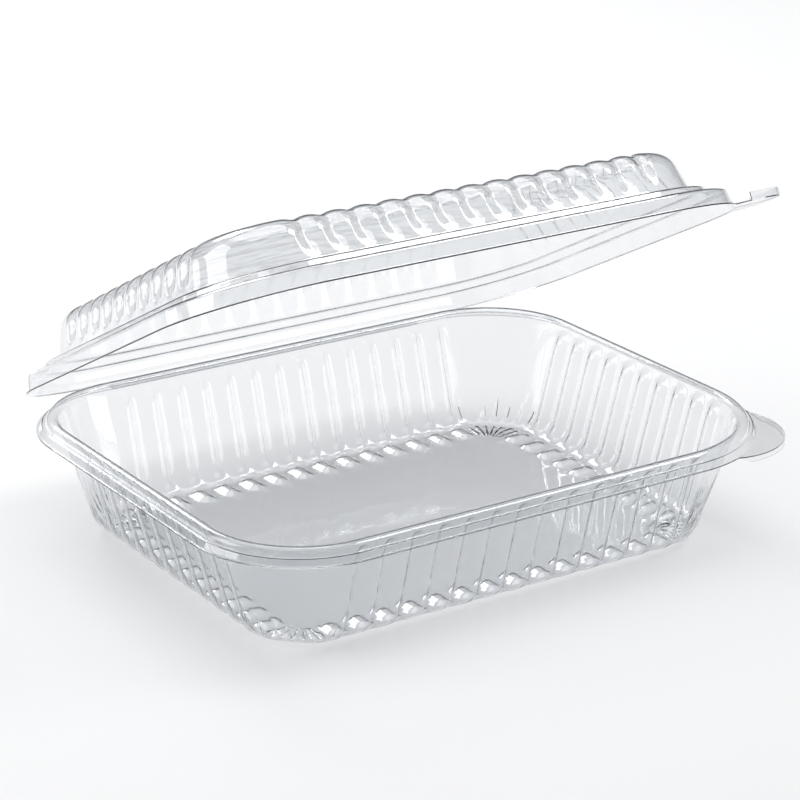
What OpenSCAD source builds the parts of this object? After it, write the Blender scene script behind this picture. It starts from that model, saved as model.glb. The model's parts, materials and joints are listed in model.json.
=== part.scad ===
// Hinged food container, thermoformed in one clear sheet: a fluted tray, a fluted lid and a hinge
// along the back. All sizes are in millimetres. X runs along the long sides, Y from the front
// to the hinge and Z up. The origin is the middle of the flat underside of the tray.

/* [Rim] */
// Length of the rim, between the crowns of its bead
rim_length = 200; // [170:1:240]
// Width of the rim, between the crowns of its bead
rim_width = 159; // [130:1:190]
// Radius of the rim's corners, at the crown of the bead
corner_radius = 32; // [29:0.5:36]
// Radius of the half-round bead that runs round the rim
bead_radius = 2.4; // [1.8:0.1:3]
// Width of the flat ledge outside the bead
ledge_width = 1; // [0.6:0.1:2]
// Height from the lip up to the ledge of the tray's rim
skirt_height = 1.9; // [1.2:0.1:3]
// How far the tray's skirt flares outwards on its way down
skirt_flare = 1.2; // [0.6:0.1:2]
// Width of the flat lip at the foot of the tray's skirt
lip_width = 0.7; // [0.5:0.1:1.5]

/* [Sheet] */
// Thickness of the formed sheet
sheet = 0.4; // [0.3:0.05:0.6]
// Gap between tray and lid where they nest
nest_gap = 0.35; // [0.3:0.05:0.6]

/* [Walls] */
// Lean of the walls from upright, in degrees
draft = 15.435; // [10:0.005:17]

/* [Tray] */
// Height of the tray, from its underside to the crown of the bead
tray_height = 39.5; // [36:0.5:48]
// Radius where the tray's walls turn into its floor
tray_turn = 9; // [6:0.5:11]
// How far the tray's flutes run in over the floor
tray_flute_run = 8; // [5:0.5:9]
// Length of smooth wall between the tray's flutes and its bead
tray_flute_gap = 3; // [2:0.5:6]

/* [Lid] */
// Height of the lid's top above the crown of the tray's bead when closed
lid_rise = 19.5; // [17:0.5:30]
// Radius where the lid's walls turn into its top
lid_turn = 8; // [6:0.5:9]
// How far the lid's flutes run in over the top
lid_flute_run = 3; // [2:0.5:6]
// Length of smooth wall between the lid's flutes and its shelf
lid_flute_gap = 2; // [1:0.5:3]
// Height of the lid's skirt, from its lip to its ledge
lid_skirt_height = 5.6; // [5.3:0.1:7]
// How far the lid's skirt flares outwards on its way down
lid_skirt_flare = 1; // [0.6:0.1:1.6]
// Width of the flat lip at the foot of the lid's skirt
lid_lip_width = 1; // [0.6:0.1:1.5]
// Height of the step between the lid's ledge and the shelf at the foot of its walls
step_height = 2.6; // [1.5:0.1:3.5]
// Distance from the rim's crown in to the step
step_inset = 1.2; // [0.5:0.1:2]
// Slope of the step, measured across
step_run = 0.8; // [0.4:0.1:1.5]
// Distance from the rim's crown in to the foot of the lid's walls
foot_inset = 6.5; // [4.5:0.1:8]

/* [Flutes] */
// Number of grooves along each long side, with a flute between each two
long_grooves = 14; // [8:1:14]
// Number of grooves along each short side, with a flute between each two
short_grooves = 10; // [5:1:10]
// Depth of the grooves between the flutes
groove_depth = 2.2; // [1.4:0.1:2.4]
// Width of the flat bottom of a groove on the long sides
groove_floor = 0.8; // [0.4:0.1:1.2]

/* [Hinge] */
// Length of the hinge along the back of the rim
hinge_length = 124; // [80:1:130]
// Radius of the rolled edge that the lid turns about
hinge_radius = 0.9; // [0.8:0.05:1.2]
// Running gap round the rolled edge
hinge_gap = 0.08; // [0.05:0.01:0.1]
// Distance from the tray's lip out to the middle of the rolled edge
hinge_reach = 2.6; // [2.5:0.1:4]
// Angle that the lid stands open by, in degrees
lid_open = 27.5; // [0:0.5:90]

/* [Tabs] */
// Radius of the tray's rounded opening tab
tray_tab_radius = 23.5; // [20:0.5:26]
// Reach of the tray's tab beyond the lip, along the corner's diagonal
tray_tab_reach = 4.5; // [3:0.5:8]
// Reach of the lid's tab beyond the lip, along the length of the rim
lid_tab_reach = 6; // [4:0.5:10]
// Width of the lid's tab
lid_tab_width = 19; // [14:0.5:22]
// Corner radius of the lid's tab
lid_tab_corner = 5; // [3:0.5:7]

/* [Hidden] */
$fn = 96;

// Rounds a length to a thousandth of a millimetre, so that pieces drawn apart meet exactly
function exact(value) = round(value * 1000) / 1000;

// Middle of the rim's corner arcs: every section is swept about these four points
corner_x = rim_length / 2 - corner_radius;
corner_y = rim_width / 2 - corner_radius;

// Width of the sheet where a leaning wall is cut level
wall_leg = exact(sheet / cos(draft));

// Heights and radii of the tray's rim, from the bead down to the lip
bead_centre = tray_height - bead_radius;
ledge_drop = sheet / 4;
ledge_z = bead_centre - ledge_drop;
lip_z = ledge_z - skirt_height;
bead_out = corner_radius + bead_radius;
ledge_out = bead_out + ledge_width;
skirt_out = ledge_out + skirt_flare;
lip_out = skirt_out + lip_width;

// Length of the tray's wall between its turn and its bead, and the radius where the turn begins
bead_offset = tray_turn - sheet + bead_radius;
tray_climb = exact((bead_centre - tray_turn + bead_offset * sin(draft)) / cos(draft));
tray_base_r = exact(corner_radius - bead_offset * cos(draft) - tray_climb * sin(draft));

// Heights and radii of the lid's rim, as it lies on the tray
lid_lip_z = lip_z + nest_gap + sheet;
lid_ledge_z = lid_lip_z + lid_skirt_height;
lid_skirt_out = skirt_out + nest_gap + 2 * sheet;
lid_ledge_out = lid_skirt_out - lid_skirt_flare;
lid_lip_out = lid_skirt_out + lid_lip_width;
lid_top_z = tray_height + lid_rise;
step_r = corner_radius - step_inset;
shelf_z = lid_ledge_z + step_height;
shelf_edge = corner_radius - foot_inset;

// How far the lid's wall runs down into its shelf, and the shelf runs in under the wall
wall_bite = 0.3 * sheet;
shelf_bite = 0.75 * sheet;

// Length of the lid's wall from its turn into the middle of the shelf, and where the turn begins
lid_dome = lid_top_z - shelf_z;
turn_rise = lid_turn * (1 - sin(draft));
lid_climb = exact((lid_dome + wall_bite - turn_rise) / cos(draft));
lid_base_r = exact(shelf_edge - lid_turn * cos(draft) - (lid_dome - turn_rise) * tan(draft));

// A flute is a circle whose chord, at the depth of the grooves, leaves the grooves' flat bottoms free
flute_chord = 2 * corner_x / long_grooves - groove_floor;
flute_radius = exact((pow(flute_chord, 2) / 4 + pow(groove_depth, 2)) / (2 * groove_depth));

// Hinge line, level with the gap between the two lips
hinge_y = corner_y + lip_out + hinge_reach;
hinge_z = lip_z + nest_gap / 2;

// Direction of the tray's tab below the X axis, and how far the lid's tab starts behind the corner
tab_turn = 43;
lid_tab_back = 8.5;

// How far the cutting shapes run past the edges they open
spill = 2;

// Sweeps a section round four corners whose middles lie at half_x and half_y
module round_corners(half_x, half_y) {
    for (sx = [-1, 1], sy = [-1, 1])
        translate([sx * half_x, sy * half_y, 0])
            rotate(sx > 0 ? (sy > 0 ? 0 : -90) : (sy > 0 ? 90 : 180))
                rotate_extrude(angle = 90) children();
}

// Runs a section along one side: it faces +Y and stands on the line through the corners' middles
module along(length) {
    rotate([90, 0, 90]) translate([0, 0, -length / 2]) linear_extrude(length) children();
}

// Places what faces +Y at the two long sides
module on_long_sides(half_y) {
    for (turn = [0, 180]) rotate(turn) translate([0, half_y, 0]) children();
}

// Places what faces +Y at the two short sides
module on_short_sides(half_x) {
    for (turn = [90, -90]) rotate(turn) translate([0, half_x, 0]) children();
}

// Slab with rounded corners
module slab(half_x, half_y, r, z, thick) {
    round_corners(half_x, half_y) translate([0, z]) square([r, thick]);
    translate([-half_x, -half_y - r, z]) cube([2 * half_x, 2 * (half_y + r), thick]);
    translate([-half_x - r, -half_y, z]) cube([2 * (half_x + r), 2 * half_y, thick]);
}

// Section of a floor and of the round turn at its edge
module turn_section(base_r, turn) {
    square([base_r, sheet]);
    translate([base_r, turn]) difference() {
        circle(turn);
        circle(turn - sheet);
        translate([-spill - turn, -spill - turn]) square([spill + turn, 2 * (spill + turn)]);
        rotate(-draft) translate([-spill - turn, 0]) square(2 * (spill + turn));
    }
}

// Frame of a leaning wall: its origin is the turn's middle, x points out of the wall and y up along it
module lean(base_r, turn) {
    translate([base_r, turn]) rotate(-draft) children();
}

// Section of a smooth wall from one length along it to another
module wall_section(base_r, turn, from, to) {
    lean(base_r, turn) translate([turn - sheet, from]) square([sheet, to - from]);
}

// Face of a row of flutes over a side of the given length, with the crests at y = 0 and half a flute
// at each end. inset draws it one sheet further in, and over runs it past the ends and the back.
module flute_face(grooves, length, inset, over) {
    root = groove_depth + sheet + over;
    intersection() {
        union() {
            translate([-length / 2 - over, -root])
                square([length + 2 * over, root - groove_depth - inset]);
            for (i = [0 : grooves])
                translate([(i / grooves - 0.5) * length, -flute_radius]) circle(flute_radius - inset);
        }
        translate([-length / 2 - over, -root]) square([length + 2 * over, root]);
    }
}

// Section of the sheet of a row of flutes
module flute_section(grooves, length) {
    difference() {
        flute_face(grooves, length, 0, 0);
        flute_face(grooves, length, sheet, spill);
    }
}

// Section of the wall that closes the ends of the grooves
module groove_end(grooves, length) {
    difference() {
        translate([-length / 2, -groove_depth - sheet]) square([length, groove_depth + sheet]);
        flute_face(grooves, length, sheet, spill);
    }
}

// One fluted side that faces +Y: the flutes run over the floor, round the turn and up the wall,
// and the grooves are closed at both ends
module fluted_side(grooves, length, base_r, turn, run, climb) {
    translate([0, base_r - run, 0]) rotate([-90, 0, 0]) {
        linear_extrude(run) flute_section(grooves, length);
        translate([0, 0, -sheet]) linear_extrude(sheet) groove_end(grooves, length);
    }
    translate([0, base_r, turn]) rotate([0, 90, 0]) rotate_extrude(angle = 90 - draft)
        translate([turn, 0]) rotate(-90) flute_section(grooves, length);
    translate([0, base_r, turn]) rotate([-draft, 0, 0]) translate([0, turn, 0]) {
        linear_extrude(climb) flute_section(grooves, length);
        translate([0, 0, climb]) linear_extrude(sheet) groove_end(grooves, length);
    }
}

// A cup of thin sheet that stands on z = 0: flat floor, smooth corners and four fluted sides.
// Its first child is the section of the smooth wall and the rim above the flutes. The others join it as they are.
module fluted_cup(base_r, turn, run, climb) {
    edge = base_r - run - sheet;
    round_corners(corner_x, corner_y) {
        turn_section(base_r, turn);
        wall_section(base_r, turn, 0, climb + sheet);
        children(0);
    }
    on_long_sides(corner_y) {
        fluted_side(long_grooves, 2 * corner_x, base_r, turn, run, climb);
        along(2 * corner_x) children(0);
    }
    on_short_sides(corner_x) {
        fluted_side(short_grooves, 2 * corner_y, base_r, turn, run, climb);
        along(2 * corner_y) children(0);
    }
    translate([-corner_x, -corner_y - edge, 0]) cube([2 * corner_x, 2 * (corner_y + edge), sheet]);
    translate([-corner_x - edge, -corner_y, 0]) cube([2 * (corner_x + edge), 2 * corner_y, sheet]);
    children([1 : $children - 1]);
}

// Section of the tray above the flutes: wall, half-round bead, ledge, flared skirt and lip
module tray_rim_section() {
    wall_section(tray_base_r, tray_turn, tray_climb - tray_flute_gap + sheet, tray_climb);
    lean(tray_base_r, tray_turn) translate([bead_offset, tray_climb]) difference() {
        circle(bead_radius);
        circle(bead_radius - sheet);
        translate([-2 * bead_radius, -2 * bead_radius]) square([4 * bead_radius, 2 * bead_radius]);
    }
    polygon([
        [bead_out - sheet / 2, ledge_z],
        [ledge_out, ledge_z],
        [skirt_out, lip_z],
        [lip_out, lip_z],
        [lip_out, lip_z - sheet],
        [skirt_out - wall_leg, lip_z - sheet],
        [ledge_out - wall_leg, ledge_z - sheet],
        [bead_out - sheet / 2, ledge_z - sheet]
    ]);
}

// Section of the lid below the flutes, upside down: wall, shelf, step, ledge, flared skirt and lip
module lid_rim_section() {
    wall_section(lid_base_r, lid_turn, lid_climb - lid_flute_gap + sheet, lid_climb);
    translate([0, lid_top_z]) mirror([0, 1]) polygon([
        [lid_lip_out, lid_lip_z],
        [lid_skirt_out, lid_lip_z],
        [lid_ledge_out, lid_ledge_z],
        [step_r, lid_ledge_z],
        [step_r - step_run, shelf_z],
        [shelf_edge - shelf_bite, shelf_z],
        [shelf_edge - shelf_bite, shelf_z - sheet],
        [step_r - step_run - wall_leg, shelf_z - sheet],
        [step_r - wall_leg, lid_ledge_z - sheet],
        [lid_ledge_out - wall_leg, lid_ledge_z - sheet],
        [lid_skirt_out - wall_leg, lid_lip_z - sheet],
        [lid_lip_out, lid_lip_z - sheet]
    ]);
}

// Web from a lip at height z out to the hinge line, along the back
module hinge_web(from_r, z) {
    translate([-hinge_length / 2, corner_y + from_r, z - sheet])
        cube([hinge_length, hinge_y - corner_y - from_r, sheet]);
}

// Rolled edge along the hinge line
module hinge_roll(r, length) {
    translate([-length / 2, hinge_y, hinge_z]) rotate([0, 90, 0]) cylinder(h = length, r = r);
}

// Rounded opening tab at the tray's front right corner
module tray_tab() {
    centre = lip_out + tray_tab_reach - tray_tab_radius;
    middle = [corner_x + exact(centre * cos(tab_turn)), -corner_y - exact(centre * sin(tab_turn))];
    difference() {
        translate([middle[0], middle[1], lip_z - sheet]) cylinder(h = sheet, r = tray_tab_radius);
        slab(corner_x, corner_y, skirt_out, lip_z - spill, 2 * spill);
    }
}

// Squarer opening tab at the lid's front right corner
module lid_tab() {
    half = lid_tab_width / 2 - lid_tab_corner;
    middle = [
        corner_x + lid_lip_out + lid_tab_reach - lid_tab_corner - half,
        -corner_y - lid_tab_back - lid_tab_corner - half
    ];
    difference() {
        translate(middle) slab(half, half, lid_tab_corner, lid_lip_z - sheet, sheet);
        slab(corner_x, corner_y, lid_skirt_out, lid_lip_z - spill, 2 * spill);
    }
}

// Tray
module tray() {
    color("aliceblue", 0.5)
        fluted_cup(tray_base_r, tray_turn, tray_flute_run, tray_climb - tray_flute_gap) {
            tray_rim_section();
            tray_tab();
            hinge_web(skirt_out, lip_z);
            hinge_roll(hinge_radius, hinge_length);
        }
}

// Turns what is drawn for the closed lid upside down, with its top on z = 0, or back again
module turn_over() {
    translate([0, 0, lid_top_z]) mirror([0, 0, 1]) children();
}

// Half of the hinge that the lid carries: a web that ends just short of the tray's rolled edge
module lid_web() {
    difference() {
        hinge_web(lid_skirt_out, lid_lip_z);
        hinge_roll(hinge_radius + hinge_gap, hinge_length + spill);
    }
}

// Lid, drawn closed
module closed_lid() {
    turn_over()
        fluted_cup(lid_base_r, lid_turn, lid_flute_run, lid_climb - lid_flute_gap) {
            lid_rim_section();
            turn_over() lid_tab();
            turn_over() lid_web();
        }
}

// Lid
module lid() {
    color("aliceblue", 0.5)
        translate([0, hinge_y, hinge_z]) rotate([-lid_open, 0, 0]) translate([0, -hinge_y, -hinge_z])
            closed_lid();
}

tray();
lid();
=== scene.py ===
# %% [markdown]
# # A clear hinged food container
# The real container is one clear plastic sheet, softened by heat and drawn over a mould. The sheet is the same
# thickness all over, so each half is modelled as the mould's face first, and gets its thickness last. The
# imported solids are loaded first: they hold the true places, and the tray and the lid each ride on one of their
# bodies.

import json
import math

import bmesh
import bpy
from mathutils import Matrix, Vector


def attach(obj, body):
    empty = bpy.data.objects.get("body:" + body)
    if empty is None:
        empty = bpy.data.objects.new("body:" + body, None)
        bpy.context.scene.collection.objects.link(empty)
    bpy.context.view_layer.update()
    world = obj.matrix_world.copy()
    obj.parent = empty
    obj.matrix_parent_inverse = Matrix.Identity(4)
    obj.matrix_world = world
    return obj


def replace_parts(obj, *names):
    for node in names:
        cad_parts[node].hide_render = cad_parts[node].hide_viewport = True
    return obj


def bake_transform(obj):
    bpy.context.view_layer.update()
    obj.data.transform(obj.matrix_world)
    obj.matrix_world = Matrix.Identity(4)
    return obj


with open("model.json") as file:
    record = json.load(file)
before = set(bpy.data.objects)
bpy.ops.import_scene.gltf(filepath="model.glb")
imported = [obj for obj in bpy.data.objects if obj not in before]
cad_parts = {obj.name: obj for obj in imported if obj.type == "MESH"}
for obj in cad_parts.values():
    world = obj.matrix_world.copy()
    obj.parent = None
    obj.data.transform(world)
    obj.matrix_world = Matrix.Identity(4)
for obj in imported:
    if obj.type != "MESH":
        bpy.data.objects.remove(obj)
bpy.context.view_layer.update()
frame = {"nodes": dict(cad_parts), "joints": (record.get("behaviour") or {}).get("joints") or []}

# %% [markdown]
# ## Sizes
# Both halves share one plan: a rectangle with round corners, swept about four corner middles. A point of a
# section is given by its distance r out from the line through those middles and by its height z, so one section
# serves the long sides, the corners and the short sides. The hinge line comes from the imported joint.

# %% Sizes of the plan and the sheet
MM = 0.001
TOLERANCE = 0.001 * MM
SHEET = 0.4 * MM
CORNER_X, CORNER_Y = 68 * MM, 47.5 * MM
LEAN = math.radians(15.435)
TURN_ANGLE = math.pi / 2 - LEAN
LONG_FLUTES, SHORT_FLUTES = 14, 10
LONG_PITCH, SHORT_PITCH = 2 * CORNER_X / LONG_FLUTES, 2 * CORNER_Y / SHORT_FLUTES
hinge = frame["joints"][0]
HINGE_Y, HINGE_Z = hinge["pos_m"][1:]
LID_OPEN = -math.radians(hinge["range_deg"][0])


def in_mm(lengths):
    """Lengths in millimetres, for printing."""
    return [round(length / MM, 2) for length in lengths]


print("flutes every", in_mm((LONG_PITCH, SHORT_PITCH)), "mm; lid open by", round(math.degrees(LID_OPEN), 1))

# %% [markdown]
# ## Drawing a section
# A section is a chain of edges in the plane x = 0. It could be a bezier curve, but the turns of a mould are true
# arcs, so the chain is drawn as on paper: a straight run carries the chain's tip on, and a round turn spins it
# about a middle. A mould has no sharp corners, so each corner between two straight runs is a small spin too.
# That round edge is what catches the light on clear plastic.


# %% Tools that draw a section
def spin(bm, geom, steps, cent=(0, 0, 0), axis=(1, 0, 0), dvec=(0, 0, 0), angle=0.0):
    """Carries geometry on in steps, straight by dvec or about cent by an angle, and returns the last of it."""
    return bmesh.ops.spin(
        bm, geom=geom, cent=cent, axis=axis, dvec=dvec, angle=angle, steps=steps,
        use_merge=False, use_normal_flip=False, use_duplicate=False,
    )["geom_last"]


def only_vert(geom):
    """The vertex in a list of geometry."""
    return next(g for g in geom if isinstance(g, bmesh.types.BMVert))


def at(r, z):
    """The point of the section plane at distance r out from the corner middles and height z."""
    return Vector((0, CORNER_Y + r, z))


def start_section(r, z):
    """A new mesh with one vertex, the start of a section."""
    bm = bmesh.new()
    return bm, bmesh.ops.create_vert(bm, co=at(r, z))["vert"][0]


def run_to(bm, tip, r, z, cuts=0):
    """Carries the tip on in a straight line, with some cuts along it."""
    return only_vert(spin(bm, [tip], cuts + 1, dvec=(at(r, z) - tip.co) / (cuts + 1)))


def curl(bm, tip, middle, angle, steps):
    """Spins the tip about a middle in the section plane."""
    return only_vert(spin(bm, [tip], steps, cent=at(*middle), angle=angle))


def round_corner(bm, tip, corner, toward, radius, steps=4):
    """Runs up to a corner and rounds it, ready to go on toward the next corner."""
    here, b, c = Vector((tip.co.y - CORNER_Y, tip.co.z)), Vector(corner), Vector(toward)
    back, on = (here - b).normalized(), (c - b).normalized()
    half = back.angle(on) / 2
    start = b + back * (radius / math.tan(half))
    middle = b + (back + on).normalized() * (radius / math.sin(half))
    tip = run_to(bm, tip, *start)
    left = (b - here).cross(c - b) > 0
    return curl(bm, tip, middle, (math.pi - 2 * half) * (1 if left else -1), steps)


print("section tools ready")

# %% [markdown]
# ## Sweeping and mirroring
# The plan is the same left and right and front and back, so only a quarter is swept: along half a long side,
# round a corner, along half a short side. A spin with no angle but with a step moves the section straight on.
# Mirroring twice gives the whole plan, and the open middle is filled with one flat face.

# %% Tools that sweep a quarter and mirror it
FLUTE_COLUMNS, CORNER_COLUMNS = 10, 32
MERGE_GAP, MIRROR_GAP = 0.002 * MM, 0.01 * MM


def sweep(bm, geom, steps, step=(0, 0, 0), angle=0.0):
    """Carries a section on, straight by step or round a corner by angle, and returns the last section."""
    return spin(bm, geom, steps, cent=(CORNER_X, CORNER_Y, 0), axis=(0, 0, 1), dvec=step, angle=angle)


def sweep_quarter(bm):
    """Half a long side, a corner and half a short side."""
    across, down = LONG_FLUTES // 2 * FLUTE_COLUMNS, SHORT_FLUTES // 2 * FLUTE_COLUMNS
    last = sweep(bm, bm.verts[:] + bm.edges[:], across, step=(CORNER_X / across, 0, 0))
    last = sweep(bm, last, CORNER_COLUMNS, angle=-math.pi / 2)
    sweep(bm, last, down, step=(0, -CORNER_Y / down, 0))
    bmesh.ops.remove_doubles(bm, verts=bm.verts[:], dist=MERGE_GAP)


def in_middle(v):
    """True for a point on the edge of the flat middle."""
    return abs(v.co.x) < CORNER_X + MIRROR_GAP and abs(v.co.y) < CORNER_Y + MIRROR_GAP


def mirror_all(bm):
    """Mirrors the quarter to a whole plan and closes the flat middle."""
    for axis in "XY":
        bmesh.ops.mirror(bm, geom=bm.verts[:] + bm.edges[:] + bm.faces[:], axis=axis, merge_dist=MIRROR_GAP)
    bmesh.ops.remove_doubles(bm, verts=bm.verts[:], dist=MERGE_GAP)
    inner = [e for e in bm.edges if e.is_boundary and all(in_middle(v) for v in e.verts)]
    bmesh.ops.holes_fill(bm, edges=inner, sides=0)


def face_up(bm):
    """Turns the shell so that its flat middle faces up."""
    bmesh.ops.recalc_face_normals(bm, faces=bm.faces[:])
    bm.normal_update()
    middle = max(bm.faces, key=lambda f: f.calc_area())
    if middle.normal.z < 0:
        bmesh.ops.reverse_faces(bm, faces=bm.faces[:])


print("a quarter has", CORNER_COLUMNS, "columns in its corner and", FLUTE_COLUMNS, "for each flute")

# %% [markdown]
# ## Flutes
# The walls are fluted, which makes thin sheet stiff. A flute is a part of a circle, and a groove is the flat
# valley that two flutes leave, so the depth at each column comes from that circle. Cutting the flutes with
# Booleans would leave hard edges, so the quarter's own points are pressed in instead, before it is mirrored.
# Along the section the depth fades out softly at both ends, as it does in a drawn sheet. Round the foot it is
# only a share of the whole, so that the tray stands on a nearly smooth ring. Inside the ring it comes back as
# short ribs on the floor.

# %% Tools that press grooves into a quarter
VALLEY_SOFTNESS = 0.9 * MM
RING_EDGE, RING_FADE = 1.6 * MM, 2.2 * MM
WALL_STARTS, WALL_FADE = 0.48, 0.35


def smooth_step(t):
    """0 below 0, 1 above 1, and an even S between them."""
    t = min(max(t, 0.0), 1.0)
    return t * t * (3 - 2 * t)


def groove_depth(s, pitch, deepest, flute_radius):
    """Depth of the sheet below the flutes' crests at distance s along a side, with a soft valley."""
    off = abs(s - round(s / pitch) * pitch)
    flute = flute_radius - math.sqrt(max(flute_radius**2 - off**2, 0.0))
    near = max(VALLEY_SOFTNESS - abs(flute - deepest), 0.0) / VALLEY_SOFTNESS
    return min(flute, deepest) - near * near * VALLEY_SOFTNESS / 4


def place_on_section(r, z, base_r, turn):
    """How far along the section a point is, from the turn's start, and which way its face leans there."""
    out, up = r - base_r, z - turn
    angle = min(max(math.atan2(out, -up), 0.0), TURN_ANGLE)
    along = min(out, 0.0) + turn * angle
    if angle == TURN_ANGLE:
        along += out * math.sin(LEAN) + up * math.cos(LEAN)
    return along, angle


def inside_ring(along):
    """1 on the floor inside the ring round the foot, and 0 on the ring and beyond it."""
    return smooth_step((RING_EDGE - along) / RING_FADE)


def press_grooves(bm, base_r, turn, starts, ends, fade_in, fade_out, deepest, flute_radius, at_foot, on_floor):
    """Moves the straight sides' points in, with only shares of the depth at the foot and on the floor."""
    for v in bm.verts:
        long_side = v.co.x < CORNER_X + TOLERANCE and v.co.y > CORNER_Y + TOLERANCE
        short_side = v.co.y < CORNER_Y + TOLERANCE and v.co.x > CORNER_X + TOLERANCE
        if not (long_side or short_side):
            continue
        r = (v.co.y - CORNER_Y) if long_side else (v.co.x - CORNER_X)
        s, pitch = (v.co.x, LONG_PITCH) if long_side else (v.co.y, SHORT_PITCH)
        along, angle = place_on_section(r, v.co.z, base_r, turn)
        share = smooth_step((along - starts) / fade_in) * smooth_step((ends - along) / fade_out)
        on_wall = smooth_step((along - WALL_STARTS * turn) / (WALL_FADE * turn))
        share *= at_foot + (1 - at_foot) * on_wall + (on_floor - at_foot) * inside_ring(along)
        depth = share * groove_depth(s, pitch, deepest, flute_radius)
        inward = Vector((0, -1, 0)) if long_side else Vector((-1, 0, 0))
        v.co += inward * (depth * math.sin(angle)) + Vector((0, 0, depth * math.cos(angle)))


print("groove tools ready")

# %% [markdown]
# ## The tray's corners
# The corners are the part of the tray that is drawn deepest. They lean in more than the sides do towards the
# floor, and short ribs fan out over the turn and on the floor, to keep the thin sheet there from buckling. A
# row of modelled ribs would need many joins on this curved face, so these are pressed in like the grooves.

# %% Tool that shapes the tray's corners
FAN_RIBS, FAN_DEPTH = 6, 1.4 * MM
FAN_STARTS, FAN_START_FADE = 4 * MM, 3 * MM
FAN_ABOVE_TURN, FAN_END_FADE = 9 * MM, 6 * MM
FLOOR_RIBS_START, FLOOR_RIBS_FADE = -8.5 * MM, 2.2 * MM
CORNER_PULL, PULL_TOP, PULL_CURVE = 2.4 * MM, 35 * MM, 1.4


def shape_corner(bm, base_r, turn):
    """Presses the fan of ribs into the quarter's corner and pulls its lower part in."""
    for v in bm.verts:
        arm = Vector((v.co.x - CORNER_X, v.co.y - CORNER_Y))
        if min(arm) < TOLERANCE or v.co.z > PULL_TOP or arm.length > base_r + 2 * turn:
            continue
        r, direction = arm.length, math.atan2(arm.y, arm.x)
        along, angle = place_on_section(r, v.co.z, base_r, turn)
        share = smooth_step((along - FAN_STARTS) / FAN_START_FADE)
        share *= smooth_step((turn + FAN_ABOVE_TURN - along) / FAN_END_FADE)
        share += inside_ring(along) * smooth_step((along - FLOOR_RIBS_START) / FLOOR_RIBS_FADE)
        rib = FAN_DEPTH * share * (1 - abs(math.sin(2 * FAN_RIBS * direction)))
        lower = (1 - v.co.z / PULL_TOP) ** PULL_CURVE
        pull = CORNER_PULL * lower * math.sin(2 * direction) ** 2 * min(r / (base_r + turn), 1.0)
        v.co.xy -= arm.normalized() * (rib * math.sin(angle) + pull)
        v.co.z += rib * math.cos(angle)


print("fan of", FAN_RIBS, "ribs for each corner")

# %% [markdown]
# ## The corner with the tabs
# The front right corner is rounder than the other three, to leave room for the tabs. It could be swept apart,
# with another radius, but then its flutes would have to be joined to the rest. So the whole shell is bent there:
# each line of the section is carried to a wider arc, and all these arcs share one middle. The lines stay
# parallel, so the lid still closes over the tray with the same room.

# %% Tool that widens the front right corner
WIDER = 10 * MM


def from_wide_middle(v):
    """Distances of a point to the right of and in front of the wider round's middle."""
    return v.co.x - CORNER_X + WIDER, -v.co.y - CORNER_Y + WIDER


def widen_corner(bm):
    """Carries the front right corner, and the ends of its two sides, to a wider round."""
    for v in bm.verts:
        x, y = from_wide_middle(v)
        if x <= 0 or y <= 0:
            continue
        arm = Vector((max(x - WIDER, 0.0), max(y - WIDER, 0.0)))
        r = arm.length
        along = min(x, WIDER) + r * math.atan2(arm.x, arm.y) + max(WIDER - y, 0.0)
        turned = math.pi / 2 * along / (2 * WIDER + r * math.pi / 2)
        v.co.x = CORNER_X - WIDER + (r + WIDER) * math.sin(turned)
        v.co.y = -(CORNER_Y - WIDER + (r + WIDER) * math.cos(turned))


print("front right corner wider by", in_mm((WIDER,)), "mm")

# %% [markdown]
# ## Thickness
# The sheet gets its thickness from Solidify with an even offset, to the side away from the face that was drawn.
# The modifier is applied at once, so that the cut edge of the sheet can be marked sharp: on the real thing that
# edge is cut by a die and shows as a thin bright line.

# %% Tool that turns a shell into a finished piece
SHARP_ANGLE = math.radians(50)


def finish_sheet(bm, name, thick):
    """A new object from a shell, with the sheet's thickness below its faces."""
    mesh = bpy.data.meshes.new(name)
    bm.to_mesh(mesh)
    bm.free()
    rough = bpy.data.objects.new(name + "_shell", mesh)
    bpy.context.scene.collection.objects.link(rough)
    wall = rough.modifiers.new("sheet", "SOLIDIFY")
    wall.thickness, wall.offset = thick, -1.0
    wall.use_even_offset = wall.use_quality_normals = True
    solid = bpy.data.meshes.new_from_object(rough.evaluated_get(bpy.context.evaluated_depsgraph_get()))
    bpy.data.objects.remove(rough)
    bpy.data.meshes.remove(mesh)
    solid.name = name
    solid.polygons.foreach_set("use_smooth", [True] * len(solid.polygons))
    solid.set_sharp_from_angle(angle=SHARP_ANGLE)
    piece = bpy.data.objects.new(name, solid)
    bpy.context.scene.collection.objects.link(piece)
    print(name, len(solid.polygons), "faces")
    return piece


print("thickness tool ready")

# %% [markdown]
# ## The tray
# Seen from the middle outwards, the tray's upper face is a flat floor, a round turn, a leaning wall, a thick
# half-round bead that makes the rim stiff, and a narrow flange that steps down to a lip. All of it is one
# section, so one sweep makes the tray without a seam.

# %% Draw the tray's section
TRAY_TURN, TRAY_BASE, TRAY_CLIMB = 9 * MM, 12.83 * MM, 32.189 * MM
RIBBED_FLOOR = 9 * MM
BEAD_OUT, BEAD_Z, BEAD_END = 32 * MM, 37.1 * MM, math.radians(20)
TRAY_LEDGE_R, TRAY_LEDGE_Z, TRAY_SKIRT_R = 35.4 * MM, 37 * MM, 36.6 * MM
TRAY_LIP_R, TRAY_LIP_Z = 37.3 * MM, 35.1 * MM
LEDGE_ROUND, LIP_ROUND = 0.5 * MM, 0.4 * MM

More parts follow.
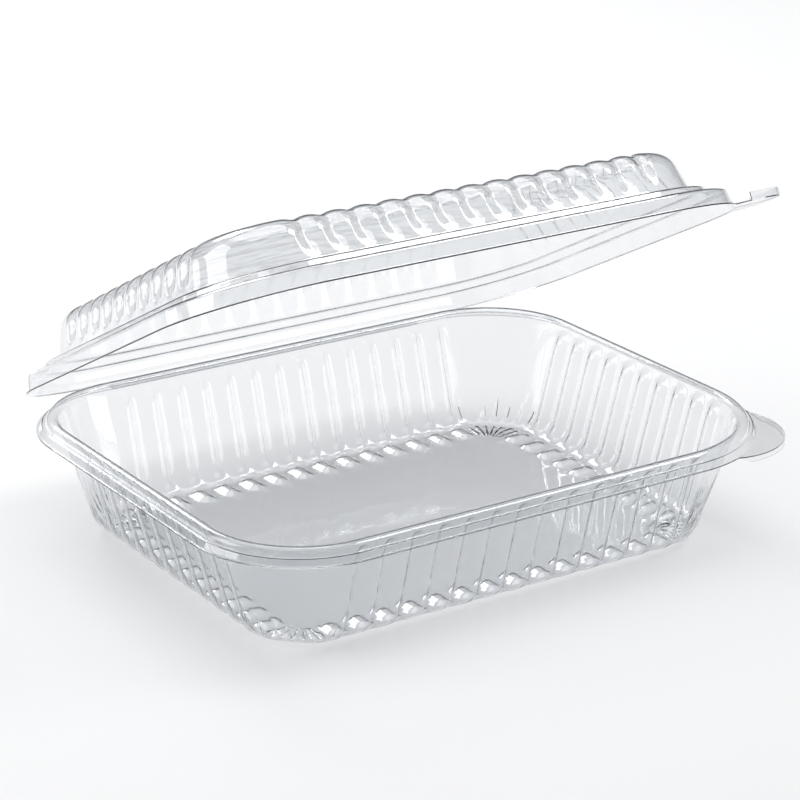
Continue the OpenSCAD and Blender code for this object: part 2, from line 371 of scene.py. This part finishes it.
tray_bm, tip = start_section(0, SHEET)
tip = run_to(tray_bm, tip, TRAY_BASE - RIBBED_FLOOR, SHEET)
tip = run_to(tray_bm, tip, TRAY_BASE, SHEET, cuts=8)
tip = curl(tray_bm, tip, (TRAY_BASE, TRAY_TURN), TURN_ANGLE, 12)
wall_top = (
    tip.co.y - CORNER_Y + TRAY_CLIMB * math.sin(LEAN),
    tip.co.z + TRAY_CLIMB * math.cos(LEAN),
)
tip = run_to(tray_bm, tip, *wall_top, cuts=17)
tip = curl(tray_bm, tip, (BEAD_OUT, BEAD_Z), BEAD_END + LEAN - math.pi, 14)
bead_drop = (tip.co.z - TRAY_LEDGE_Z) / math.cos(BEAD_END)
bead_foot = (tip.co.y - CORNER_Y + bead_drop * math.sin(BEAD_END), TRAY_LEDGE_Z)
ledge_edge, skirt_foot = (TRAY_LEDGE_R, TRAY_LEDGE_Z), (TRAY_SKIRT_R, TRAY_LIP_Z)
tip = round_corner(tray_bm, tip, bead_foot, ledge_edge, LEDGE_ROUND)
tip = round_corner(tray_bm, tip, ledge_edge, skirt_foot, LEDGE_ROUND)
tip = round_corner(tray_bm, tip, skirt_foot, (TRAY_LIP_R, TRAY_LIP_Z), LIP_ROUND)
tip = run_to(tray_bm, tip, TRAY_LIP_R, TRAY_LIP_Z)
print("tray section:", len(tray_bm.verts), "points, up to", in_mm(tip.co))

# %% Sweep the tray and press its flutes and corners
FLUTES_BELOW_BEAD = 1.5 * MM

sweep_quarter(tray_bm)
press_grooves(
    tray_bm, TRAY_BASE, TRAY_TURN, starts=-8.5 * MM,
    ends=TRAY_TURN * TURN_ANGLE + TRAY_CLIMB - FLUTES_BELOW_BEAD, fade_in=2.2 * MM, fade_out=3 * MM,
    deepest=2.2 * MM, flute_radius=3.66 * MM, at_foot=0.1, on_floor=0.6,
)
shape_corner(tray_bm, TRAY_BASE, TRAY_TURN)
mirror_all(tray_bm)
widen_corner(tray_bm)
face_up(tray_bm)
print("tray shell:", len(tray_bm.verts), "points")

# %% [markdown]
# ## Opening tabs
# Two tabs stand out of the rim at the front right corner, one on each half, so that two fingers can part them.
# A tab is more of the same flat lip, so the lip's outer edge is drawn out to the tab's outline and no join is
# needed. The tab's own edge is turned, down on the tray and up on the lid, which makes it stiff and easy to
# catch with a nail. The turn dies out where the tab goes over into the lip.

# %% Tools that draw a lip out to a tab
ON_LIP = 0.05 * MM
EDGE_SHARES, EDGE_FADE = (0.35, 0.65), 3 * MM


def beyond_lip(v, lip_r):
    """How far a point lies beyond the lip of the front right corner."""
    x, y = from_wide_middle(v)
    return math.hypot(x, y) - lip_r - WIDER if x > 0 and y > 0 else -lip_r


def draw_out_lip(bm, lip_r, reach_at):
    """Moves the front right corner's lip out, to the distance that reach_at gives for each direction."""
    moved = set()
    for v in bm.verts:
        if not v.is_boundary or abs(beyond_lip(v, lip_r)) > ON_LIP:
            continue
        arm = Vector((v.co.x - CORNER_X, v.co.y + CORNER_Y))
        reach = reach_at(math.atan2(-arm.y, arm.x))
        if reach > arm.length:
            v.co.xy += arm.normalized() * (reach - arm.length)
            moved.add(v)
    return moved


def turn_edge(bm, lip_r, verts, drop):
    """Bends a tab's outer edge down by drop, or up where drop is negative."""
    rim = [e for e in bm.edges if e.is_boundary and all(v in verts for v in e.verts)]
    for share in EDGE_SHARES:
        made = bmesh.ops.extrude_edge_only(bm, edges=rim)["geom"]
        rim = [g for g in made if isinstance(g, bmesh.types.BMEdge) and g.is_boundary]
        for v in {v for e in rim for v in e.verts}:
            v.co.z -= drop * share * smooth_step(beyond_lip(v, lip_r) / EDGE_FADE)
    return len(rim)


print("tab tools ready")

# %% Finish the tray with its round tab
ROUND_TAB_R, ROUND_TAB_REACH, ROUND_TAB_DIRECTION = 23.5 * MM, 4.5 * MM, math.radians(43)
ROUND_TAB_DROP = 2 * MM


def round_tab(direction):
    """Outline of the tray's tab, a circle about a point towards the corner."""
    middle = TRAY_LIP_R + ROUND_TAB_REACH - ROUND_TAB_R
    off = direction - ROUND_TAB_DIRECTION
    return middle * math.cos(off) + math.sqrt(ROUND_TAB_R**2 - (middle * math.sin(off)) ** 2)


tab_edge = draw_out_lip(tray_bm, TRAY_LIP_R, round_tab)
print("tray tab:", turn_edge(tray_bm, TRAY_LIP_R, tab_edge, ROUND_TAB_DROP), "edges turned down")
tray_sheet = finish_sheet(tray_bm, "tray_sheet", SHEET)
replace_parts(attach(tray_sheet, "tray"), "tray")

# %% [markdown]
# ## The lid
# The lid is drawn closed and upside down, so that its flat top lies at height 0 and the same tools serve. Its
# outer face runs over the round turn, down the wall to a shelf, over a step to a ledge, and down a deep skirt
# that reaches over the tray's bead. It is then turned over, and swung open about the hinge line.

# %% Draw the lid's section
LID_TOP_Z, LID_TURN, LID_BASE = 59 * MM, 8 * MM, 15.28 * MM
RIBBED_TOP, FOOT_ROOM = 6 * MM, 1.2 * MM
SHELF_END, STEP_END, LEDGE_END, SKIRT_END, LID_LIP_R = 30 * MM, 30.8 * MM, 36.75 * MM, 37.75 * MM, 38.75 * MM
shelf, ledge, lip = (LID_TOP_Z - z * MM for z in (44.05, 41.45, 35.85))

lid_bm, tip = start_section(0, 0)
tip = run_to(lid_bm, tip, LID_BASE - RIBBED_TOP, 0)
tip = run_to(lid_bm, tip, LID_BASE, 0, cuts=6)
tip = curl(lid_bm, tip, (LID_BASE, LID_TURN), TURN_ANGLE, 12)
lid_climb = (shelf - tip.co.z) / math.cos(LEAN)
near_foot = lid_climb - FOOT_ROOM
wall_foot = (
    tip.co.y - CORNER_Y + near_foot * math.sin(LEAN),
    tip.co.z + near_foot * math.cos(LEAN),
)
tip = run_to(lid_bm, tip, *wall_foot, cuts=9)
foot = (tip.co.y - CORNER_Y + (lid_climb - near_foot) * math.sin(LEAN), shelf)
corners = [foot, (SHELF_END, shelf), (STEP_END, ledge), (LEDGE_END, ledge), (SKIRT_END, lip), (LID_LIP_R, lip)]
rounds = [0.9 * MM, 0.7 * MM, 0.7 * MM, 1.2 * MM, 0.5 * MM]
for corner, toward, radius in zip(corners, corners[1:], rounds):
    tip = round_corner(lid_bm, tip, corner, toward, radius)
tip = run_to(lid_bm, tip, *corners[-1])
print("lid section:", len(lid_bm.verts), "points, up to", in_mm(tip.co))

# %% Sweep the lid, press its flutes and turn it over
FLUTES_ABOVE_SHELF = 0.6 * MM

sweep_quarter(lid_bm)
press_grooves(
    lid_bm, LID_BASE, LID_TURN, starts=-5 * MM,
    ends=LID_TURN * TURN_ANGLE + lid_climb - FLUTES_ABOVE_SHELF, fade_in=2.6 * MM, fade_out=8 * MM,
    deepest=1.5 * MM, flute_radius=5.61 * MM, at_foot=0.5, on_floor=0.5,
)
mirror_all(lid_bm)
bmesh.ops.scale(lid_bm, verts=lid_bm.verts[:], vec=(1, 1, -1))
bmesh.ops.translate(lid_bm, verts=lid_bm.verts[:], vec=(0, 0, LID_TOP_Z))
widen_corner(lid_bm)
face_up(lid_bm)
print("lid shell:", len(lid_bm.verts), "points")

# %% Draw out the lid's square tab and swing the lid open
SQUARE_TAB_HALF, SQUARE_TAB_ROUND, SQUARE_TAB_RISE = 9.5 * MM, 5 * MM, 2.6 * MM
SQUARE_TAB_REACH, SQUARE_TAB_OFF = 4.5 * MM, 7.5 * MM
RULER = [step * 0.1 * MM for step in range(300, 560)]


def square_tab(direction):
    """Outline of the lid's tab, a plate with rounded corners that points along +X."""
    straight = SQUARE_TAB_HALF - SQUARE_TAB_ROUND
    middle = Vector((LID_LIP_R + SQUARE_TAB_REACH - SQUARE_TAB_HALF, SQUARE_TAB_OFF + SQUARE_TAB_HALF))
    ray = Vector((math.cos(direction), math.sin(direction)))
    reach = 0.0
    for distance in RULER:
        point = ray * distance - middle
        over = Vector((max(abs(point.x) - straight, 0), max(abs(point.y) - straight, 0)))
        if over.length <= SQUARE_TAB_ROUND:
            reach = distance
    return reach


tab_edge = draw_out_lip(lid_bm, LID_LIP_R, square_tab)
print("lid tab:", turn_edge(lid_bm, LID_LIP_R, tab_edge, -SQUARE_TAB_RISE), "edges turned up")
bmesh.ops.rotate(
    lid_bm, verts=lid_bm.verts[:], cent=(0, HINGE_Y, HINGE_Z), matrix=Matrix.Rotation(-LID_OPEN, 3, "X")
)
lid_sheet = finish_sheet(lid_bm, "lid_sheet", SHEET)
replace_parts(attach(lid_sheet, "lid"), "lid")

# %% [markdown]
# ## The living hinge
# Along the back the two lips are one strip of sheet that bends. It is drawn as a narrow loop from the tray's lip
# round the hinge line to the open lid's lip. A strip that rode on one half would tear away from the other, so it
# rides on neither body and stays as drawn for the open lid.

# %% Make the hinge strip
HINGE_LENGTH, HINGE_COLUMNS = 124 * MM, 12
HINGE_SHEET, LOOP_R, LAP = 0.3 * MM, 0.5 * MM, 0.1 * MM


def on_lid(r, z):
    """Where a point of the closed lid's section is when the lid is open."""
    arm = Vector((CORNER_Y + r - HINGE_Y, z - HINGE_Z))
    arm.rotate(Matrix.Rotation(-LID_OPEN, 2))
    return HINGE_Y + arm.x - CORNER_Y, HINGE_Z + arm.y


axis_r = HINGE_Y - CORNER_Y
hinge_bm, tip = start_section(TRAY_LIP_R - LAP, HINGE_Z - LOOP_R)
tip = run_to(hinge_bm, tip, axis_r, HINGE_Z - LOOP_R, cuts=3)
tip = curl(hinge_bm, tip, (axis_r, HINGE_Z), math.pi - LID_OPEN, 10)
tip = run_to(hinge_bm, tip, *on_lid(LID_LIP_R - LAP, HINGE_Z + LOOP_R))
bmesh.ops.translate(hinge_bm, verts=hinge_bm.verts[:], vec=(-HINGE_LENGTH / 2, 0, 0))
strip_step = (HINGE_LENGTH / HINGE_COLUMNS, 0, 0)
sweep(hinge_bm, hinge_bm.verts[:] + hinge_bm.edges[:], HINGE_COLUMNS, step=strip_step)
bmesh.ops.recalc_face_normals(hinge_bm, faces=hinge_bm.faces[:])
hinge_bm.normal_update()
if min(hinge_bm.faces, key=lambda f: f.calc_center_median().z).normal.z > 0:
    bmesh.ops.reverse_faces(hinge_bm, faces=hinge_bm.faces[:])
hinge_strip = finish_sheet(hinge_bm, "hinge_strip", HINGE_SHEET)
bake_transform(hinge_strip)

# %% [markdown]
# ## Forming marks
# The finish is clear PET, and such sheet is never perfectly even: the mould leaves soft waves and a faint haze.
# One node group makes both from the object's own coordinates: a height for the bump, and a roughness. As a group
# it can be placed in any other clear finish with its own values.


# %% Node group for the marks that forming leaves
def forming_marks_group():
    """Waves and haze: a height for the bump and a roughness."""
    group = bpy.data.node_groups.new("forming_marks", "ShaderNodeTree")
    socket = group.interface.new_socket
    for name, value in (("Wave scale", 70.0), ("Haze scale", 260.0), ("Low", 0.015), ("High", 0.06)):
        socket(name=name, in_out="INPUT", socket_type="NodeSocketFloat").default_value = value
    socket(name="Height", in_out="OUTPUT", socket_type="NodeSocketFloat")
    socket(name="Roughness", in_out="OUTPUT", socket_type="NodeSocketFloat")
    nodes, links = group.nodes, group.links
    given, result = nodes.new("NodeGroupInput"), nodes.new("NodeGroupOutput")
    coords = nodes.new("ShaderNodeTexCoord")
    waves, haze = nodes.new("ShaderNodeTexNoise"), nodes.new("ShaderNodeTexNoise")
    spread = nodes.new("ShaderNodeMapRange")
    waves.inputs["Detail"].default_value, haze.inputs["Detail"].default_value = 1.0, 4.0
    spread.inputs["From Min"].default_value, spread.inputs["From Max"].default_value = 0.35, 0.75
    for texture, scale in ((waves, "Wave scale"), (haze, "Haze scale")):
        links.new(coords.outputs["Object"], texture.inputs["Vector"])
        links.new(given.outputs[scale], texture.inputs["Scale"])
    links.new(haze.outputs["Fac"], spread.inputs["Value"])
    links.new(given.outputs["Low"], spread.inputs["To Min"])
    links.new(given.outputs["High"], spread.inputs["To Max"])
    links.new(waves.outputs["Fac"], result.inputs["Height"])
    links.new(spread.outputs["Result"], result.inputs["Roughness"])
    return group


marks = forming_marks_group()
print("node group:", marks.name)

# %% [markdown]
# ## Clear sheet
# The sheet lets light through, bends it a little and mirrors the room at its round edges, so the main shader is
# a Principled one with full transmission. Light on its way to or from the floor takes another path: it passes
# straight through, as it does through thin sheet, and loses more where it meets the sheet at a slant. That gives
# the soft shadow under the walls, without the hot spots that bent light would leave there.

# %% The clear sheet's material
PET_IOR = 1.5
SHEET_TINT = (0.92, 0.93, 0.94, 1.0)
SEEN_THROUGH, SEEN_AT_SLANT = (0.975, 0.977, 0.98, 1.0), (0.74, 0.745, 0.75, 1.0)
WAVE_STRENGTH, WAVE_HEIGHT = 0.25, 0.4 * MM


def straight_through(nodes, links):
    """A shader that lets light pass without bending it, darker where the sheet is met at a slant."""
    clear, slant = nodes.new("ShaderNodeBsdfTransparent"), nodes.new("ShaderNodeBsdfTransparent")
    grazing, through = nodes.new("ShaderNodeFresnel"), nodes.new("ShaderNodeMixShader")
    clear.inputs["Color"].default_value = SEEN_THROUGH
    slant.inputs["Color"].default_value = SEEN_AT_SLANT
    grazing.inputs["IOR"].default_value = PET_IOR
    links.new(grazing.outputs["Fac"], through.inputs["Fac"])
    links.new(clear.outputs["BSDF"], through.inputs[1])
    links.new(slant.outputs["BSDF"], through.inputs[2])
    return through.outputs["Shader"]


def clear_sheet(name):
    """Clear glossy sheet with forming marks."""
    material = bpy.data.materials.new(name)
    material.use_nodes = True
    nodes, links = material.node_tree.nodes, material.node_tree.links
    shader, output = nodes["Principled BSDF"], nodes["Material Output"]
    shader.inputs["Base Color"].default_value = SHEET_TINT
    shader.inputs["Metallic"].default_value = 0.0
    shader.inputs["Transmission Weight"].default_value = 1.0
    shader.inputs["IOR"].default_value = PET_IOR
    forming, bump = nodes.new("ShaderNodeGroup"), nodes.new("ShaderNodeBump")
    forming.node_tree = marks
    bump.inputs["Strength"].default_value = WAVE_STRENGTH
    bump.inputs["Distance"].default_value = WAVE_HEIGHT
    links.new(forming.outputs["Height"], bump.inputs["Height"])
    links.new(forming.outputs["Roughness"], shader.inputs["Roughness"])
    links.new(bump.outputs["Normal"], shader.inputs["Normal"])
    light, passing = nodes.new("ShaderNodeLightPath"), nodes.new("ShaderNodeMath")
    mix = nodes.new("ShaderNodeMixShader")
    passing.operation = "MAXIMUM"
    links.new(light.outputs["Is Shadow Ray"], passing.inputs[0])
    links.new(light.outputs["Is Diffuse Ray"], passing.inputs[1])
    links.new(passing.outputs["Value"], mix.inputs["Fac"])
    links.new(shader.outputs["BSDF"], mix.inputs[1])
    links.new(straight_through(nodes, links), mix.inputs[2])
    links.new(mix.outputs["Shader"], output.inputs["Surface"])
    return material


pet = clear_sheet("clear_sheet_finish")
for piece in (tray_sheet, lid_sheet, hinge_strip):
    piece.data.materials.append(pet)
for cad_node in frame["nodes"].values():
    cad_node.data.materials.clear()
    cad_node.data.materials.append(pet)
print("finish:", pet.name)

# %% [markdown]
# ## Studio
# Clear plastic shows only what it mirrors and bends, so the room matters more than the material. A pale matt floor
# fills the picture. Large soft lamps give the long highlights, two low strips give the pale bands on the flutes of
# the inner walls, and the grey room between the lamps gives the darker edges. The strips stand so near the floor
# that they would draw a hard streak on it, so light linking leaves the floor out of what they light.

# %% Floor and room
FLOOR_SIZE, FLOOR_DROP = 6.0, 0.1 * MM


def make_floor():
    """A flat pale floor just below the tray."""
    bm = bmesh.new()
    bmesh.ops.create_grid(bm, x_segments=1, y_segments=1, size=FLOOR_SIZE)
    bmesh.ops.translate(bm, verts=bm.verts[:], vec=(0, 0, -FLOOR_DROP))
    mesh = bpy.data.meshes.new("floor")
    bm.to_mesh(mesh)
    bm.free()
    floor = bpy.data.objects.new("floor", mesh)
    bpy.context.scene.collection.objects.link(floor)
    material = bpy.data.materials.new("pale_floor")
    material.use_nodes = True
    shader = material.node_tree.nodes["Principled BSDF"]
    shader.inputs["Base Color"].default_value = (0.9, 0.9, 0.9, 1)
    shader.inputs["Roughness"].default_value = 0.7
    shader.inputs["Specular IOR Level"].default_value = 0.0
    mesh.materials.append(material)
    return floor


room = bpy.data.worlds.new("room")
bpy.context.scene.world = room
room.use_nodes = True
room.node_tree.nodes["Background"].inputs["Color"].default_value = (0.15, 0.155, 0.165, 1)
room.node_tree.nodes["Background"].inputs["Strength"].default_value = 1.0
bpy.context.scene.view_settings.view_transform = "Standard"
floor = make_floor()
print("stage:", floor.name, "in a grey", room.name)

# %% Lamps
ON_THE_PART, BEHIND_THE_PART = (0, 0, 0.05), (0, 0.2, 0)
# Each lamp: name, place, the point it looks at, width and height in metres, power in watts.
LAMPS = (
    ("overhead", (0.0, 0.7, 3.0), BEHIND_THE_PART, 2.8, 2.8, 55),
    ("window", (-1.0, 0.5, 0.7), ON_THE_PART, 0.7, 0.7, 5),
    ("front", (0.8, -1.25, 0.13), ON_THE_PART, 1.4, 0.22, 2),
    ("side", (-1.2, 0.85, 0.13), ON_THE_PART, 1.4, 0.22, 2),
    ("right", (0.85, -0.2, 1.35), ON_THE_PART, 0.5, 0.5, 7),
    ("back", (0.1, 1.35, 0.95), ON_THE_PART, 0.5, 0.5, 6),
)
STRIPS = ("front", "side")


def soft_lamp(name, place, target, width, height, power):
    """A flat lamp that looks at a point and isn't seen itself."""
    data = bpy.data.lights.new(name, "AREA")
    data.shape, data.size, data.size_y, data.energy = "RECTANGLE", width, height, power
    lamp = bpy.data.objects.new(name, data)
    lamp.location = place
    lamp.visible_camera = False
    lamp.rotation_euler = (Vector(target) - Vector(place)).to_track_quat("-Z", "Y").to_euler()
    bpy.context.scene.collection.objects.link(lamp)
    return lamp


lamps = {row[0]: soft_lamp(*row) for row in LAMPS}
beside_strips = bpy.data.collections.new("not_lit_by_strips")
beside_strips.objects.link(floor)
beside_strips.collection_objects[0].light_linking.link_state = "EXCLUDE"
for name in STRIPS:
    lamps[name].light_linking.receiver_collection = beside_strips
print("lamps:", list(lamps), "of which strips:", STRIPS)

# %% [markdown]
# ## Camera
# The view looks down on the front left corner at about twenty degrees, with a long lens, so the far side of the
# rim is hardly smaller than the near side.

# %% Camera
AZIMUTH, ELEVATION = math.radians(-33.36), math.radians(20.48)
CAMERA_PLACE = (-0.4775, -0.7235, 0.3681)
SENSOR_MM, LENS_MM = 36.0, 127.5

camera_data = bpy.data.cameras.new("camera")
camera_data.sensor_width, camera_data.lens = SENSOR_MM, LENS_MM
camera = bpy.data.objects.new("camera", camera_data)
camera.location = CAMERA_PLACE
camera.rotation_euler = (math.pi / 2 - ELEVATION, 0, AZIMUTH)
bpy.context.scene.collection.objects.link(camera)
bpy.context.scene.camera = camera
print("camera at", [round(c, 3) for c in camera.location])
